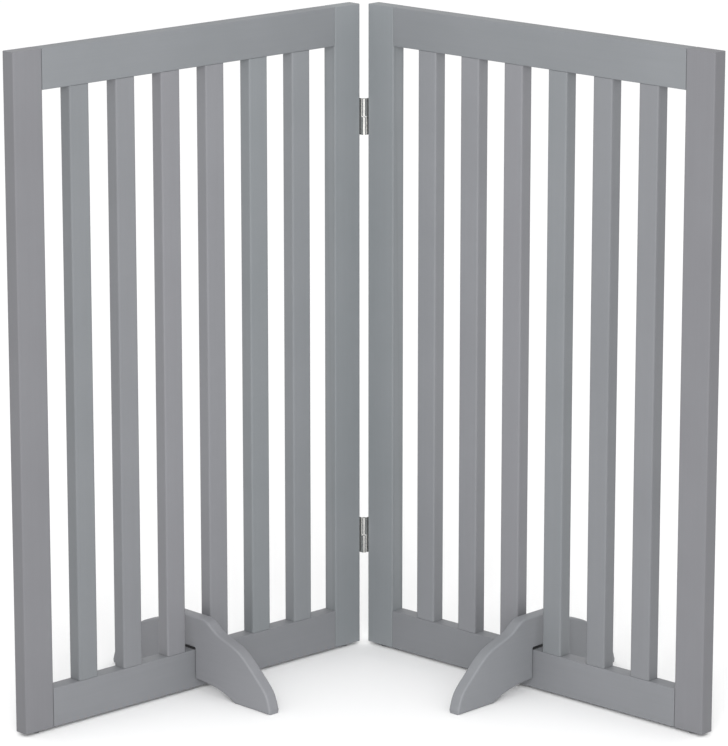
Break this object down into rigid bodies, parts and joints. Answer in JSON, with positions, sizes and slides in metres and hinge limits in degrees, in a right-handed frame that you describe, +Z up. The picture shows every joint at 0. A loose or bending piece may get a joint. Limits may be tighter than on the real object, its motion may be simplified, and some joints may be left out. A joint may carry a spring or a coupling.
{
  "type": "folding pet gate",
  "caption": "Freestanding wooden pet gate: two slatted panels hinged into a V, with a loose notched foot across each bottom rail.",
  "frame": {"origin": "bottom centre of the whole gate's box, on the floor it stands on", "axes": "+Z up; +X to the right along the gate's span; the V opens towards -Y and the hinges are at +Y"},
  "size_m": [0.924, 0.434, 0.918],
  "materials": {
    "paint": "satin grey paint on smooth timber",
    "hinge_nickel": "bright nickel plate",
    "strip_rubber": "matt black rubber",
    "glide_plastic": "satin moulded plastic",
    "dowel_wood": "bare beech"
  },
  "bodies": {
    "left_panel": {"left_inner_stile": "paint", "left_outer_stile": "paint", "left_bottom_rail": "paint", "left_top_rail": "paint", "left_slat_1": "paint", "left_slat_2": "paint", "left_slat_3": "paint", "left_slat_4": "paint", "left_slat_5": "paint", "left_slat_6": "paint", "left_inner_glide": "glide_plastic", "left_outer_glide": "glide_plastic", "left_bottom_inner_dowel_1": "dowel_wood", "left_bottom_inner_dowel_2": "dowel_wood", "left_bottom_outer_dowel_1": "dowel_wood", "left_bottom_outer_dowel_2": "dowel_wood", "left_top_inner_dowel_1": "dowel_wood", "left_top_inner_dowel_2": "dowel_wood", "left_top_outer_dowel_1": "dowel_wood", "left_top_outer_dowel_2": "dowel_wood", "left_upper_hinge_leaf": "hinge_nickel", "left_upper_hinge_screw_1": "hinge_nickel", "left_upper_hinge_screw_2": "hinge_nickel", "left_lower_hinge_leaf": "hinge_nickel", "left_lower_hinge_screw_1": "hinge_nickel", "left_lower_hinge_screw_2": "hinge_nickel", "upper_hinge_pin": "hinge_nickel", "lower_hinge_pin": "hinge_nickel"},
    "right_panel": {"right_inner_stile": "paint", "right_outer_stile": "paint", "right_bottom_rail": "paint", "right_top_rail": "paint", "right_slat_1": "paint", "right_slat_2": "paint", "right_slat_3": "paint", "right_slat_4": "paint", "right_slat_5": "paint", "right_slat_6": "paint", "right_inner_glide": "glide_plastic", "right_outer_glide": "glide_plastic", "right_bottom_inner_dowel_1": "dowel_wood", "right_bottom_inner_dowel_2": "dowel_wood", "right_bottom_outer_dowel_1": "dowel_wood", "right_bottom_outer_dowel_2": "dowel_wood", "right_top_inner_dowel_1": "dowel_wood", "right_top_inner_dowel_2": "dowel_wood", "right_top_outer_dowel_1": "dowel_wood", "right_top_outer_dowel_2": "dowel_wood", "right_upper_hinge_leaf": "hinge_nickel", "right_upper_hinge_screw_1": "hinge_nickel", "right_upper_hinge_screw_2": "hinge_nickel", "right_lower_hinge_leaf": "hinge_nickel", "right_lower_hinge_screw_1": "hinge_nickel", "right_lower_hinge_screw_2": "hinge_nickel"},
    "left_foot": {"left_foot": "paint", "left_foot_strip": "strip_rubber"},
    "right_foot": {"right_foot": "paint", "right_foot_strip": "strip_rubber"}
  },
  "joints": [
    {"name": "panel_fold", "type": "hinge", "parent": "left_panel", "child": "right_panel", "pos_m": [0, 0.20042, 0], "axis": [0, 0, 1], "range_deg": [-36, 87]},
    {"name": "left_foot_lift", "type": "slide", "parent": "left_panel", "child": "left_foot", "axis": [0, 0, 1], "range_m": [0, 0.06]},
    {"name": "right_foot_lift", "type": "slide", "parent": "right_panel", "child": "right_foot", "axis": [0, 0, 1], "range_m": [0, 0.06]}
  ]
}
